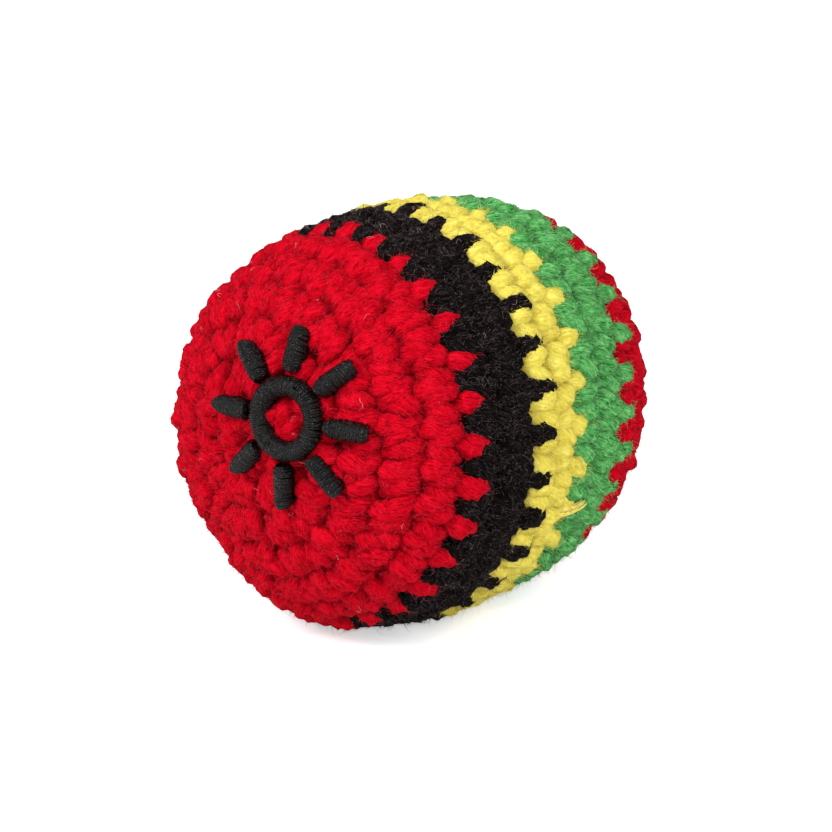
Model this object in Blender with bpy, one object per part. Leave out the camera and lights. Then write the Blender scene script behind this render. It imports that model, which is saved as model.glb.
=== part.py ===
"""A crocheted footbag: five lengths of yarn worked in rounds, a tied liner, its fill and a stitched sun.

The ball lies on its side. Its long axis runs along Y, with the motif end towards -Y, and it rests on Z = 0.
A place on the shell is given as a direction from the middle of the ball and a depth below the yarn's surface.
"""

import math

import bmesh
import bpy
from mathutils import Vector

MM = 0.001

# The ball
BALL_RADIUS = 25.0 * MM
HALF_LENGTH = 27.5 * MM
SQUARENESS = 2.65
REST_SAG = 0.6 * MM
SEAM_GAP = 0.3 * MM

# The crocheted shell, measured along its surface from the front pole
YARN_WALL = 4.8 * MM
FRONT_CAP_REACH = 31.0 * MM
BLACK_WIDTH = 9.1 * MM
YELLOW_WIDTH = 7.4 * MM
GREEN_WIDTH = 9.0 * MM
STITCH_COUNT = 30
ADDED_STITCH_COUNT = 6
FRONT_ROUND_COUNT = 6
REAR_ROUND_COUNT = 7
TOOTH_RISE = 1.25 * MM
ROUND_GROOVE = 0.55 * MM
STITCH_GROOVE = 0.45 * MM
ROUND_CLIMB = 4.7 * MM
CLIMB_START = math.radians(-150)

# The rounds lean from the ball's long axis: the front pole sits high and a little towards -X
FRONT_POLE_RAISED = math.radians(5.8)
FRONT_POLE_TURNED = math.radians(3.5)

# The liner and its fill
LINER_WALL = 0.8 * MM
NECK_RADIUS = 3.2 * MM
NECK_LENGTH = 3.0 * MM
TIE_THICKNESS = 0.9 * MM
PELLET_SIZE = 5.0 * MM
PELLET_BULGE = 0.9 * MM

# The stitched sun on the front cap
SUN_ACROSS = 5.3 * MM
SUN_UP = 7.0 * MM
SUN_RING_RADIUS = 3.8 * MM
SUN_RAY_COUNT = 8
RAY_START = 5.6 * MM
RAY_LENGTH = 5.2 * MM
SATIN_WIDTH = 2.3 * MM
SATIN_RISE = 0.9 * MM

# Middle of the ball, placed so that the ball and its raised sun are centred over the origin
MIDDLE = Vector((0, (SEAM_GAP + SATIN_RISE) / 2, BALL_RADIUS - REST_SAG))

# How finely the shapes are drawn
STITCH_POINT_COUNT = 4
LINER_POINT_COUNT = 36
PROFILE_STEP_COUNT = 720
TIE_CORNER_COUNT = 8
SATIN_CORNER_COUNT = 6
RING_STEP_COUNT = 28
RAY_STEP_COUNT = 6
RAY_ROUND_SHARE = 0.95
TURN = 2 * math.pi


def linear(hex_colour):
    """Colour for a shader from an sRGB hex string."""
    shares = [int(hex_colour[i : i + 2], 16) / 255 for i in (0, 2, 4)]
    return [c / 12.92 if c <= 0.04045 else ((c + 0.055) / 1.055) ** 2.4 for c in shares] + [1.0]


def make_material(name, hex_colour, roughness, metallic=0.0):
    """A plain Principled finish."""
    material = bpy.data.materials.new(name)
    material.use_nodes = True
    shader = material.node_tree.nodes["Principled BSDF"]
    shader.inputs["Base Color"].default_value = linear(hex_colour)
    shader.inputs["Roughness"].default_value = roughness
    shader.inputs["Metallic"].default_value = metallic
    material.diffuse_color = linear(hex_colour)
    return material


def reach_at(direction, depth):
    """Distance from the middle of the ball to its surface, moved in by depth, along a unit direction."""
    across = math.hypot(direction.x, direction.z) / (BALL_RADIUS - depth)
    along = abs(direction.y) / (HALF_LENGTH - depth)
    return (across**SQUARENESS + along**SQUARENESS) ** (-1 / SQUARENESS)


def skin_point(direction, depth, floor=0.0):
    """Point at that depth along a direction, pressed flat where the ball rests, floor above the ground."""
    point = direction * reach_at(direction, depth) + MIDDLE
    point.z = max(point.z, floor)
    return point


def profile_table():
    """Polar angles from the front pole, and the distance along the surface to each."""
    angles = [math.pi * i / PROFILE_STEP_COUNT for i in range(PROFILE_STEP_COUNT + 1)]
    spots = []
    for angle in angles:
        direction = Vector((math.sin(angle), -math.cos(angle), 0))
        spots.append(direction * reach_at(direction, 0))
    travelled = [0.0]
    for last, spot in zip(spots, spots[1:]):
        travelled.append(travelled[-1] + (spot - last).length)
    return angles, travelled


POLAR_ANGLES, TRAVELLED = profile_table()
POLE_TO_POLE = TRAVELLED[-1]
CROCHET_AXIS = Vector((math.tan(FRONT_POLE_TURNED), 1, -math.tan(FRONT_POLE_RAISED))).normalized()
CROCHET_TURN = Vector((0, 1, 0)).rotation_difference(CROCHET_AXIS).to_matrix()


def crochet_direction(travel, turn):
    """Direction of a spot on the shell, from its distance to the front pole and its angle round the axis."""
    travel = min(max(travel, 0.0), POLE_TO_POLE)
    low, high = 0, PROFILE_STEP_COUNT
    while high - low > 1:
        middle = (low + high) // 2
        if TRAVELLED[middle] <= travel:
            low = middle
        else:
            high = middle
    share = (travel - TRAVELLED[low]) / (TRAVELLED[high] - TRAVELLED[low])
    polar = POLAR_ANGLES[low] + share * (POLAR_ANGLES[high] - POLAR_ANGLES[low])
    ring = math.sin(polar)
    return CROCHET_TURN @ Vector((ring * math.cos(turn), -math.cos(polar), ring * math.sin(turn)))


def bridge(mesh, first, second):
    """Fill between two closed rows of vertices that may differ in number. A row of one is a pole."""
    i = j = 0
    ends = [len(row) if len(row) > 1 else 0 for row in (first, second)]
    while i < ends[0] or j < ends[1]:
        step_first = j >= ends[1] or (i < ends[0] and (i + 1) * len(second) <= (j + 1) * len(first))
        if step_first:
            corners = (first[i], first[(i + 1) % len(first)], second[j % len(second)])
            i += 1
        else:
            corners = (first[i % len(first)], second[(j + 1) % len(second)], second[j])
            j += 1
        mesh.faces.new(corners)


def make_body(name, rows, material, looped, sharp=math.radians(55)):
    """One closed body from rows of points, each bridged to the next, and the last to the first if looped."""
    mesh = bmesh.new()
    placed = [[mesh.verts.new(point) for point in row] for row in rows]
    for row, after in zip(placed, placed[1:]):
        bridge(mesh, row, after)
    if looped:
        bridge(mesh, placed[0], placed[-1])
    for row in (placed[0], placed[-1]):
        if not looped and len(row) > 1:
            mesh.faces.new(row)
    bmesh.ops.recalc_face_normals(mesh, faces=mesh.faces[:])
    return finish(name, mesh, material, sharp)


def finish(name, mesh, material, sharp):
    """Put a mesh in the scene under its name, shaded smooth but for its sharp edges."""
    data = bpy.data.meshes.new(name)
    mesh.to_mesh(data)
    mesh.free()
    data.materials.append(material)
    data.shade_smooth()
    data.set_sharp_from_angle(angle=sharp)
    body = bpy.data.objects.new(name, data)
    bpy.context.collection.objects.link(body)
    return body


def climb_at(travel, turn):
    """How far a round has climbed its spiral, which fades out towards both poles."""
    fade = min(1, travel / FRONT_CAP_REACH, (POLE_TO_POLE - travel) / FRONT_CAP_REACH)
    share = ((turn - CLIMB_START) % TURN) / TURN - 0.5
    return ROUND_CLIMB * share * fade


def edge_at(travel, turn, side):
    """Distance to a toothed edge between two colours, on its front side (-1) or its rear side (1)."""
    phase = STITCH_COUNT * turn

    def middle(angle):
        return TOOTH_RISE * math.cos(STITCH_COUNT * angle) + climb_at(travel, angle)

    reach = BALL_RADIUS * TURN / (STITCH_COUNT * STITCH_POINT_COUNT)
    step = TURN / (STITCH_COUNT * STITCH_POINT_COUNT)
    rises = [abs(middle(turn + way * step) - middle(turn)) / reach for way in (-1, 1)]
    slant = math.sqrt(1 + max(rises) ** 2)
    return travel + TOOTH_RISE * math.cos(phase) + climb_at(travel, turn) + side * SEAM_GAP / 2 * slant


def relief(stitch_turn, row):
    """Depth of the stitches' grooves: row counts half rounds from the edge, odd on a crest."""
    if row % 2:
        return STITCH_GROOVE * (0.5 - 0.5 * math.cos(stitch_turn))
    return ROUND_GROOVE + STITCH_GROOVE * (0.5 + 0.5 * math.cos(stitch_turn))


def outer_point(direction, groove):
    """Point of the outer face, in a groove unless the yarn is squashed flat there."""
    point = skin_point(direction, 0)
    return point if point.z == 0 else skin_point(direction, groove)


def outer_row(start, end, share, row, points, stitches):
    """One row of the outer face, a share of the way from the front edge to the rear edge."""
    spots = []
    for k in range(points):
        turn = TURN * k / points
        travel = start(turn) + share * (end(turn) - start(turn))
        spots.append(outer_point(crochet_direction(travel, turn), relief(stitches * turn, row)))
    return spots


def inner_row(start, end, share, points):
    """One row of the shell's smooth inner face."""
    spots = []
    for k in range(points):
        turn = TURN * k / points
        travel = start(turn) + share * (end(turn) - start(turn))
        spots.append(skin_point(crochet_direction(travel, turn), YARN_WALL, YARN_WALL))
    return spots


def plain_edge(travel, side):
    """The inner face's edge under a toothed one: it has the spiral's step and no teeth."""
    step = TURN / (STITCH_POINT_COUNT * STITCH_COUNT)
    steep = math.hypot(1, ROUND_CLIMB / (2 * step * (BALL_RADIUS - YARN_WALL)))

    def edge(turn):
        near_step = ((turn - CLIMB_START + 2 * step) % TURN) < 4 * step
        gap = SEAM_GAP / 2 * (steep if near_step else 1)
        return travel + climb_at(travel, turn) + side * gap

    return edge


def make_band(name, start_travel, end_travel, rounds, material):
    """A colour's rounds between two toothed edges."""
    points = STITCH_COUNT * STITCH_POINT_COUNT

    def start(turn):
        return edge_at(start_travel, turn, 1)

    def end(turn):
        return edge_at(end_travel, turn, -1)

    steps = 2 * rounds
    rows = [outer_row(start, end, i / steps, i, points, STITCH_COUNT) for i in range(steps + 1)]
    start_inside = plain_edge(start_travel, 1)
    end_inside = plain_edge(end_travel, -1)
    for i in range(rounds, -1, -1):
        rows.append(inner_row(start_inside, end_inside, i / rounds, points // 2))
    return make_body(name, rows, material, looped=True)


def cap_stitches(rounds_out):
    """Stitches in a round that lies this many rounds out from its pole."""
    return min(STITCH_COUNT, ADDED_STITCH_COUNT * max(1, math.ceil(rounds_out)))


def make_cap(name, pole_travel, edge_travel, rounds, material):
    """One end of the shell, from its pole to its toothed edge."""
    side = 1 if pole_travel > edge_travel else -1

    def pole(turn):
        return pole_travel

    def toothed(turn):
        return edge_at(edge_travel, turn, side)

    def plain(turn):
        return edge_travel + climb_at(edge_travel, turn)

    steps = 2 * rounds
    rows = [[skin_point(crochet_direction(pole_travel, 0), 0)]]
    for i in range(1, steps + 1):
        edge = toothed if i == steps else plain
        stitches = STITCH_COUNT if i >= steps - 1 else cap_stitches(i / 2)
        rows.append(outer_row(pole, edge, i / steps, i, stitches * STITCH_POINT_COUNT, stitches))
    edge_inside = plain_edge(edge_travel, side)
    for i in range(rounds, 0, -1):
        points = cap_stitches(i) * STITCH_POINT_COUNT // 2
        rows.append(inner_row(pole, edge_inside, i / rounds, points))
    rows.append([skin_point(crochet_direction(pole_travel, 0), YARN_WALL)])
    return make_body(name, rows, material, looped=False)


def make_shell(finishes):
    """The five pieces of worked yarn, from the front pole to the rear one."""
    edges = [FRONT_CAP_REACH]
    for width in (BLACK_WIDTH, YELLOW_WIDTH, GREEN_WIDTH):
        edges.append(edges[-1] + width)
    make_cap("front_cap", 0, edges[0], FRONT_ROUND_COUNT, finishes["red"])
    make_band("black_band", edges[0], edges[1], 2, finishes["black"])
    make_band("yellow_band", edges[1], edges[2], 2, finishes["yellow"])
    make_band("green_band", edges[2], edges[3], 2, finishes["green"])
    make_cap("rear_cap", POLE_TO_POLE, edges[3], REAR_ROUND_COUNT, finishes["red"])


def pouch_row(radius, along, floor):
    """A ring of points about the long axis, pressed flat at the floor."""
    row = []
    for k in range(LINER_POINT_COUNT):
        turn = TURN * k / LINER_POINT_COUNT
        spot = Vector((radius * math.cos(turn), along, radius * math.sin(turn))) + MIDDLE
        spot.z = max(spot.z, floor)
        row.append(spot)
    return row


def pouch_rows(depth, neck_radius, floor):
    """Rows of a pouch's face at that depth, from its front pole to its neck, which leaves room for itself."""
    across = BALL_RADIUS - depth
    front = HALF_LENGTH - depth
    rear = front - NECK_LENGTH
    rows = [[MIDDLE - Vector((0, front, 0))]]
    steps = LINER_POINT_COUNT // 2
    for i in range(1, steps):
        polar = math.pi * i / steps
        length = front if polar < math.pi / 2 else rear
        radius = across * math.sin(polar) ** (2 / SQUARENESS)
        along = -length * math.copysign(abs(math.cos(polar)) ** (2 / SQUARENESS), math.cos(polar))
        if polar > math.pi / 2 and radius < neck_radius * 2:
            break
        rows.append(pouch_row(radius, along, floor))
    rows.append(pouch_row(neck_radius, rear, floor))
    return rows


def make_liner(material):
    """The cloth pouch inside the shell, open at its gathered neck."""
    depth = YARN_WALL + SEAM_GAP
    inside = depth + LINER_WALL
    neck_end = HALF_LENGTH - depth
    rows = pouch_rows(depth, NECK_RADIUS, depth)
    rows.append(pouch_row(NECK_RADIUS, neck_end, depth))
    rows.append(pouch_row(NECK_RADIUS - LINER_WALL, neck_end, depth))
    rows.extend(reversed(pouch_rows(inside, NECK_RADIUS - LINER_WALL, inside)))
    return make_body("liner", rows, material, looped=False)


def make_tie(material):
    """The thread wound round the liner's neck."""
    bpy.ops.mesh.primitive_torus_add(
        location=MIDDLE + Vector((0, HALF_LENGTH - YARN_WALL - SEAM_GAP - NECK_LENGTH / 2, 0)),
        rotation=(math.radians(90), 0, 0),
        major_radius=NECK_RADIUS + SEAM_GAP + TIE_THICKNESS / 2,
        minor_radius=TIE_THICKNESS / 2,
        major_segments=LINER_POINT_COUNT,
        minor_segments=TIE_CORNER_COUNT,
    )
    tie = bpy.context.object
    tie.name = tie.data.name = "liner_tie"
    tie.data.materials.append(material)
    tie.data.shade_smooth()
    return tie


def pellet_spots():
    """Directions of the pellets that press on the liner, spread evenly over the ball."""
    radius = BALL_RADIUS - YARN_WALL
    pellet_count = int(4 * math.pi * (radius / PELLET_SIZE) ** 2)
    golden = math.pi * (3 - math.sqrt(5))
    spots = []
    for k in range(pellet_count):
        along = 1 - (2 * k + 1) / pellet_count
        ring = math.sqrt(1 - along * along)
        spots.append(Vector((ring * math.cos(golden * k), along, ring * math.sin(golden * k))))
    return spots


def make_fill(material):
    """The plastic pellets as one lumpy body, because they lie packed against each other in the liner."""
    depth = YARN_WALL + LINER_WALL + 2 * SEAM_GAP
    bead = PELLET_SIZE / (BALL_RADIUS - depth)
    mesh = bmesh.new()
    bmesh.ops.create_icosphere(mesh, subdivisions=4, radius=1)
    spots = pellet_spots()
    for vert in mesh.verts:
        direction = vert.co.normalized()
        nearest = min((direction - spot).length for spot in spots)
        dip = PELLET_BULGE * min(1, (2 * nearest / bead) ** 2)
        point = direction * reach_at(direction, depth + dip)
        limit = HALF_LENGTH - depth - NECK_LENGTH - SEAM_GAP
        point.y = min(point.y, limit)
        if point.y > 0:
            point.y *= limit / (HALF_LENGTH - depth)
        point += MIDDLE
        point.z = max(point.z, depth)
        vert.co = point
    return finish("pellet_fill", mesh, material, math.radians(80))


def sun_frame():
    """Middle of the sun on the yarn and two directions along the surface there: across, and up."""
    flat = math.hypot(SUN_ACROSS, SUN_UP) / BALL_RADIUS
    along = -HALF_LENGTH * (1 - flat**SQUARENESS) ** (1 / SQUARENESS)
    middle = Vector((SUN_ACROSS, along, SUN_UP))
    outward = middle.normalized()
    across = outward.cross(Vector((0, 0, 1))).normalized() * -1
    return middle, across, across.cross(outward) * -1


def sun_point(frame, radius, turn, rise):
    """Point of the sun at a radius and angle from its middle, raised above the yarn."""
    middle, across, upward = frame
    spot = middle + radius * (across * math.cos(turn) + upward * math.sin(turn))
    return skin_point(spot.normalized(), -rise)


def satin_section(width):
    """Half round section of a satin stitch bar: sideways places and heights above the yarn."""
    section = []
    for k in range(SATIN_CORNER_COUNT):
        angle = math.pi * k / (SATIN_CORNER_COUNT - 1)
        section.append((-width / 2 * math.cos(angle), SEAM_GAP + SATIN_RISE * math.sin(angle)))
    return section


def make_sun(material):
    """A ring and its rays, each a raised bar of satin stitch."""
    frame = sun_frame()
    rows = []
    for k in range(RING_STEP_COUNT):
        turn = TURN * k / RING_STEP_COUNT
        section = satin_section(SATIN_WIDTH)
        rows.append([sun_point(frame, SUN_RING_RADIUS + side, turn, rise) for side, rise in section])
    make_body("sun_ring", rows, material, looped=True)
    for number in range(SUN_RAY_COUNT):
        turn = TURN * number / SUN_RAY_COUNT
        rows = []
        for k in range(RAY_STEP_COUNT + 1):
            share = k / RAY_STEP_COUNT
            width = SATIN_WIDTH * math.sqrt(1 - (RAY_ROUND_SHARE * (2 * share - 1)) ** 4)
            radius = RAY_START + share * RAY_LENGTH
            row = []
            for side, rise in satin_section(width):
                row.append(sun_point(frame, math.hypot(radius, side), turn + math.atan2(side, radius), rise))
            rows.append(row)
        make_body(f"sun_ray_{number + 1}", rows, material, looped=False)


def main():
    """Clear the scene and build every piece."""
    for old in list(bpy.data.objects):
        bpy.data.objects.remove(old, do_unlink=True)
    finishes = {
        "red": make_material("red_acrylic_yarn", "D3062B", 0.85),
        "black": make_material("black_acrylic_yarn", "1B191A", 0.9),
        "yellow": make_material("yellow_acrylic_yarn", "E9D954", 0.85),
        "green": make_material("green_acrylic_yarn", "46A553", 0.85),
        "thread": make_material("black_satin_thread", "151415", 0.45),
        "cloth": make_material("black_nylon_liner", "2A2A2C", 0.7),
        "cord": make_material("black_nylon_thread", "1C1C1E", 0.5),
        "pellets": make_material("polyethylene_pellets", "D9D6CC", 0.4),
    }
    make_shell(finishes)
    make_liner(finishes["cloth"])
    make_tie(finishes["cord"])
    make_fill(finishes["pellets"])
    make_sun(finishes["thread"])


main()
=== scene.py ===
"""The looks of a crocheted footbag: yarn worked in single crochet, its nap, and a satin-stitched sun.

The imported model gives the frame. The yarn is laid stitch by stitch along the same rounds as the
model's shell, so both legs of a stitch, its top loop and each change of colour are stretches of one
continuous strand.
"""

from __future__ import annotations

import logging
import math
from dataclasses import dataclass
from enum import Enum

import bmesh
import bpy
import numpy as np
from mathutils import Matrix, Vector


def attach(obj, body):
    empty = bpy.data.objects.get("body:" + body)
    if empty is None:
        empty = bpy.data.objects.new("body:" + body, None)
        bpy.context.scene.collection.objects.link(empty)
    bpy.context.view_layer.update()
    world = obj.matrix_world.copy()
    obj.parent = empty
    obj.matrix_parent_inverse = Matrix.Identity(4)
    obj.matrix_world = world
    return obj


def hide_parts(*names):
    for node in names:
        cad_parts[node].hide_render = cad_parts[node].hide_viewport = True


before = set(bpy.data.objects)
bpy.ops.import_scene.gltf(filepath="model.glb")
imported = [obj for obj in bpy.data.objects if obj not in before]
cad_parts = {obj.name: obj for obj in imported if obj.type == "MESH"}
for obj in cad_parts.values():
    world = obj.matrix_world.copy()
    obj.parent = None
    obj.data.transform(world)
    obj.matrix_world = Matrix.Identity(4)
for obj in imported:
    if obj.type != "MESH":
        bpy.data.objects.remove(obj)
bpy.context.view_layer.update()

LOG = logging.getLogger("footbag")
MM = 0.001
TURN = 2 * math.pi
SEED = 7
# A direction that no strand runs along, which its sides are set by
ASLANT = (0.31, 0.52, 0.79)


def linear(hex_colour: str) -> tuple[float, float, float, float]:
    """Turn an sRGB hex colour to the linear one that shaders use.

    Args:
        hex_colour: Six hex digits, red first.

    Returns:
        Linear red, green, blue and an alpha of 1.
    """
    shares = [int(hex_colour[i : i + 2], 16) / 255 for i in (0, 2, 4)]
    made = [c / 12.92 if c <= 0.04045 else ((c + 0.055) / 1.055) ** 2.4 for c in shares]
    return (made[0], made[1], made[2], 1.0)


def add_node(tree: bpy.types.NodeTree, kind: str, settings: dict, links: dict) -> bpy.types.Node:
    """Add one shader node with its settings and links.

    Args:
        tree: The material's or world's node tree.
        kind: The node's type name.
        settings: Attributes by name, and socket values by socket name or number.
        links: Output sockets to link, by the input's name or number.

    Returns:
        The new node.
    """
    node = tree.nodes.new(kind)
    for name, value in settings.items():
        if isinstance(name, str) and hasattr(node, name):
            setattr(node, name, value)
        else:
            node.inputs[name].default_value = value
    for name, source in links.items():
        tree.links.new(source, node.inputs[name])
    return node


class Yarn(Enum):
    """The five lengths of yarn, by the model's node that each one stands for."""

    FRONT_RED = "front_cap"
    BLACK = "black_band"
    YELLOW = "yellow_band"
    GREEN = "green_band"
    REAR_RED = "rear_cap"


@dataclass(frozen=True)
class Bulge:
    """A soft place where the fill pushes the yarn out: its direction, its rise, and how narrow it is."""

    toward: tuple[float, float, float]
    rise: float
    narrowness: int


@dataclass(frozen=True)
class BallForm:
    """The shape that the yarn is worked round, with the same driving sizes as the model."""

    radius: float = 25.0 * MM
    half_length: float = 27.5 * MM
    squareness: float = 2.65
    rest_sag: float = 0.6 * MM
    motif_rise: float = 1.2 * MM
    front_pole_raised: float = math.radians(5.8)
    front_pole_turned: float = math.radians(3.5)
    bulges: tuple[Bulge, ...] = (
        Bulge((0.455, 0.687, 0.567), 1.1 * MM, 9),
        Bulge((-0.135, -0.527, -0.840), 1.1 * MM, 22),
    )
    steps: int = 1440

    @property
    def middle(self) -> np.ndarray:
        """Middle of the ball in the frame's own coordinates."""
        return np.array([0.0, self.motif_rise / 2, self.radius - self.rest_sag])

    def plain_reach(self, directions: np.ndarray, depth: np.ndarray | float) -> np.ndarray:
        """Distance from the middle to the plain form, moved in by depth.

        Args:
            directions: Unit directions, one a row.
            depth: How far below the yarn's outer face.

        Returns:
            One distance a row.
        """
        across = np.hypot(directions[:, 0], directions[:, 2]) / (self.radius - depth)
        along = np.abs(directions[:, 1]) / (self.half_length - depth)
        power = self.squareness
        return (across**power + along**power) ** (-1 / power)

    def reach(self, directions: np.ndarray, depth: np.ndarray | float) -> np.ndarray:
        """Distance from the middle to the surface with its bulges, moved in by depth.

        Args:
            directions: Unit directions, one a row.
            depth: How far below the yarn's outer face.

        Returns:
            One distance a row.
        """
        distance = self.plain_reach(directions, depth)
        for bulge in self.bulges:
            facing = np.clip(directions @ np.array(bulge.toward), 0, 1)
            distance = distance + bulge.rise * facing**bulge.narrowness
        return distance

    def profile(self) -> tuple[np.ndarray, np.ndarray]:
        """Measure the plain form from pole to pole.

        Returns:
            Polar angles from the front pole, and the distance along the surface to each.
        """
        polar = np.linspace(0, math.pi, self.steps)
        directions = np.column_stack([np.sin(polar), -np.cos(polar), np.zeros(self.steps)])
        spots = directions * self.plain_reach(directions, 0.0)[:, None]
        lengths = np.linalg.norm(np.diff(spots, axis=0), axis=1)
        return polar, np.concatenate([[0.0], np.cumsum(lengths)])

    @property
    def pole_to_pole(self) -> float:
        """Length of the shell from the front pole to the rear pole."""
        return float(self.profile()[1][-1])

    def lean(self) -> np.ndarray:
        """Turn from the ball's own axis to the axis of the rounds.

        Returns:
            A matrix of three rows.
        """
        aside, raised = math.tan(self.front_pole_turned), math.tan(self.front_pole_raised)
        axis = Vector((aside, 1, -raised)).normalized()
        return np.array(Vector((0, 1, 0)).rotation_difference(axis).to_matrix())

    def directions(self, travel: np.ndarray, turn: np.ndarray) -> np.ndarray:
        """Unit directions of spots on the shell.

        Args:
            travel: Distance from the front pole along the surface.
            turn: Angle round the axis of the rounds.

        Returns:
            One direction a row.
        """
        polar_table, travel_table = self.profile()
        polar = np.interp(travel, travel_table, polar_table)
        ring = np.sin(polar)
        local = np.column_stack([ring * np.cos(turn), -np.cos(polar), ring * np.sin(turn)])
        return local @ self.lean().T

    def place(self, travel: np.ndarray, turn: np.ndarray, depth: np.ndarray) -> np.ndarray:
        """Points of the shell at a depth, pressed flat where the ball rests.

        Args:
            travel: Distance from the front pole along the surface.
            turn: Angle round the axis of the rounds.
            depth: How far below the yarn's outer face.

        Returns:
            One point a row.
        """
        directions = self.directions(travel, turn)
        points = directions * self.reach(directions, depth)[:, None] + self.middle
        points[:, 2] = np.maximum(points[:, 2], depth)
        return points

    def surface(self, directions: np.ndarray, depth: np.ndarray | float) -> np.ndarray:
        """Points at a depth along unit directions from the middle."""
        return directions * self.reach(directions, depth)[:, None] + self.middle

    def outward(self, points: np.ndarray) -> np.ndarray:
        """Outward normals of the plain form near these points.

        Args:
            points: Points on or near the surface.

        Returns:
            One unit normal a row.
        """
        away = points - self.middle
        sizes = np.array([self.radius, self.half_length, self.radius])
        ring = np.hypot(away[:, 0], away[:, 2])
        power = self.squareness
        slope = np.zeros_like(away)
        slope[:, 0] = away[:, 0] * ring ** (power - 2) / sizes[0] ** power
        slope[:, 2] = away[:, 2] * ring ** (power - 2) / sizes[0] ** power
        slope[:, 1] = np.sign(away[:, 1]) * np.abs(away[:, 1]) ** (power - 1) / sizes[1] ** power
        return slope / np.linalg.norm(slope, axis=1)[:, None]


@dataclass(frozen=True)
class Round:
    """One round of single crochet."""

    yarn: Yarn
    stitches: int
    height: float


@dataclass
class Stitch:
    """One stitch: the hole that it is worked into, and its own top."""

    yarn: Yarn
    base_turn: float
    top_turn: float
    base_travel: float
    top_travel: float
    step: float


# The rounds in working order, from the front pole to the rear one: the yarn, the stitches of each
# round, and how far a round reaches along the surface
ROUNDS_BY_YARN = (
    (Yarn.FRONT_RED, (6, 12, 18, 24, 30, 30), 5.08 * MM),
    (Yarn.BLACK, (30, 30), 5.45 * MM),
    (Yarn.YELLOW, (30,), 4.1 * MM),
    (Yarn.YELLOW, (30,), 3.3 * MM),
    (Yarn.GREEN, (30, 30), 5.20 * MM),
    (Yarn.REAR_RED, (30, 30, 30, 24, 18, 12, 6), 3.93 * MM),
)


def footbag_rounds() -> list[Round]:
    """List the rounds in working order."""
    return [Round(yarn, count, height) for yarn, counts, height in ROUNDS_BY_YARN for count in counts]


@dataclass
class CrochetPattern:
    """Where each stitch of the spiral sits."""

    form: BallForm
    rounds: list[Round]
    start_turn: float = math.radians(-150)
    climb: float = 4.7 * MM
    climb_grows_over: float = 31.0 * MM
    ring_travel: float = 0.9 * MM
    stitch_lost: float = 0.5

    def stitches(self) -> list[Stitch]:
        """Place all the stitches.

        Returns:
            Stitches in working order.
        """
        whole = self.form.pole_to_pole
        placed: list[Stitch] = []
        parents: list[Stitch] = []
        first_turn = self.start_turn
        centre = 0.0
        for number in self.rounds:
            centre += number.height
            nearest_pole = min(centre, max(0.0, whole - centre))
            fade = min(1.0, nearest_pole / self.climb_grows_over)
            step = TURN / (number.stitches - self.stitch_lost)
            current = []
            for i in range(number.stitches):
                top_turn = first_turn + i * step
                top_travel = centre + self.climb * (i / number.stitches - 0.5) * fade
                base_turn, base_travel = self.hole(parents, i, number.stitches, top_turn)
                current.append(Stitch(number.yarn, base_turn, top_turn, base_travel, top_travel, step))
            placed += current
            parents = current
            first_turn = current[0].top_turn + step / 2
        return placed

    def hole(self, parents: list[Stitch], index: int, count: int, top_turn: float) -> tuple[float, float]:
        """The hole of the round below that a stitch goes into.

        Args:
            parents: Stitches of the round below.
            index: The stitch's number in its round.
            count: How many stitches its round has.
            top_turn: The angle of the stitch's own top.

        Returns:
            The hole's angle, as near as can be to the top's, and its distance from the front pole.
        """
        if not parents:
            return top_turn, self.ring_travel
        first = index * len(parents) // count
        last = max(first, (index + 1) * len(parents) // count - 1)
        holes = parents[first : last + 1]
        turn = sum(parent.top_turn + parent.step / 2 for parent in holes) / len(holes)
        travel = sum(parent.top_travel for parent in holes) / len(holes)
        turn += TURN * round((top_turn - turn) / TURN)
        return turn, travel


# The way of the yarn through one stitch: share of the stitch's width, share of the round's height,
# depth of the strand's middle in millimetres, and share of the yarn's thickness
STITCH_WAY_SHARES = (
    (-0.38, 0.10, 3.65, 0.85),
    (-0.15, -0.03, 3.2, 0.80),
    (-0.12, 0.10, 2.15, 0.90),
    (-0.18, 0.30, 1.50, 1.02),
    (-0.25, 0.54, 1.32, 1.08),
    (-0.27, 0.78, 1.95, 1.00),
    (-0.22, 0.98, 2.70, 0.85),
    (0.00, 1.06, 3.25, 0.80),
    (0.22, 0.98, 2.70, 0.85),
    (0.27, 0.78, 1.95, 1.00),
    (0.25, 0.54, 1.32, 1.08),
    (0.18, 0.30, 1.50, 1.02),
    (0.12, 0.10, 2.15, 0.90),
    (0.15, -0.03, 3.2, 0.80),
    (0.10, 0.36, 3.65, 0.85),
    (-0.02, 0.70, 3.30, 0.85),
    (-0.03, 0.92, 2.10, 0.95),
    (-0.01, 1.10, 1.35, 1.12),
    (0.01, 1.34, 1.30, 1.14),
    (0.04, 1.52, 2.10, 0.98),
    (0.26, 1.28, 3.40, 0.80),
    (0.46, 0.70, 3.65, 0.85),
)


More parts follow.
